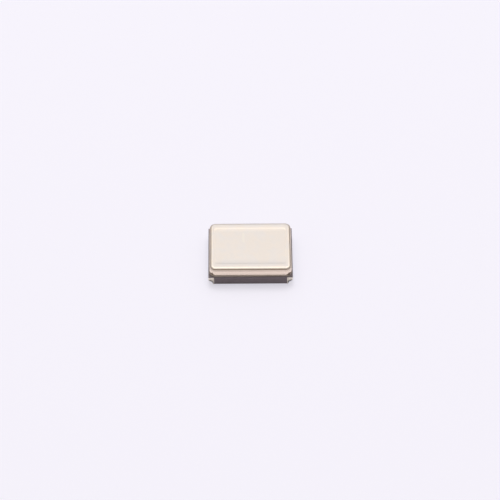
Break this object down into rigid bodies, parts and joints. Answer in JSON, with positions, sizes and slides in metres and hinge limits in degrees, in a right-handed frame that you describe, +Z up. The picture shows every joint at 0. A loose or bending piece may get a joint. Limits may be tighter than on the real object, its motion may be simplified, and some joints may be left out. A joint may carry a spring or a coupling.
{
  "type": "surface mount crystal resonator",
  "caption": "Leadless quartz crystal in a dark ceramic case with a seam-welded metal lid, a seal ring and plated corner terminals for reflow soldering.",
  "frame": {"origin": "centre of the underside of the solder terminals, which is the plane of the circuit board", "axes": "+X along the long side towards the blank's free end, +Y along the short side, +Z up through the lid"},
  "size_m": [0.0032, 0.0024, 0.0008],
  "materials": {
    "lid_metal": "nickel-plated iron-nickel-cobalt alloy, pale champagne satin",
    "ring_metal": "thin gold over nickel on iron-nickel-cobalt alloy",
    "braze_metal": "silver-copper braze under thin plating",
    "dark_ceramic": "fired dark alumina, matt",
    "gold_plating": "soft gold over nickel, satin",
    "quartz": "lapped quartz, slightly frosted",
    "electrode_film": "evaporated gold film",
    "conductive_glue": "silver-filled glue, matt",
    "buried_metal": "sintered tungsten"
  },
  "bodies": {
    "root": {"lid": "lid_metal", "seal_ring": "ring_metal", "ring_braze": "braze_metal", "seal_band": "gold_plating", "ceramic_base": "dark_ceramic", "terminal_1": "gold_plating", "terminal_2": "gold_plating", "terminal_3": "gold_plating", "terminal_4": "gold_plating", "quartz_blank": "quartz", "top_electrode": "electrode_film", "bottom_electrode": "electrode_film", "adhesive_dot_1": "conductive_glue", "adhesive_dot_2": "conductive_glue", "mounting_pad_1": "gold_plating", "mounting_pad_2": "gold_plating", "feed_trace_1": "buried_metal", "feed_trace_2": "buried_metal", "ground_via_2": "buried_metal", "ground_via_4": "buried_metal"}
  },
  "joints": []
}
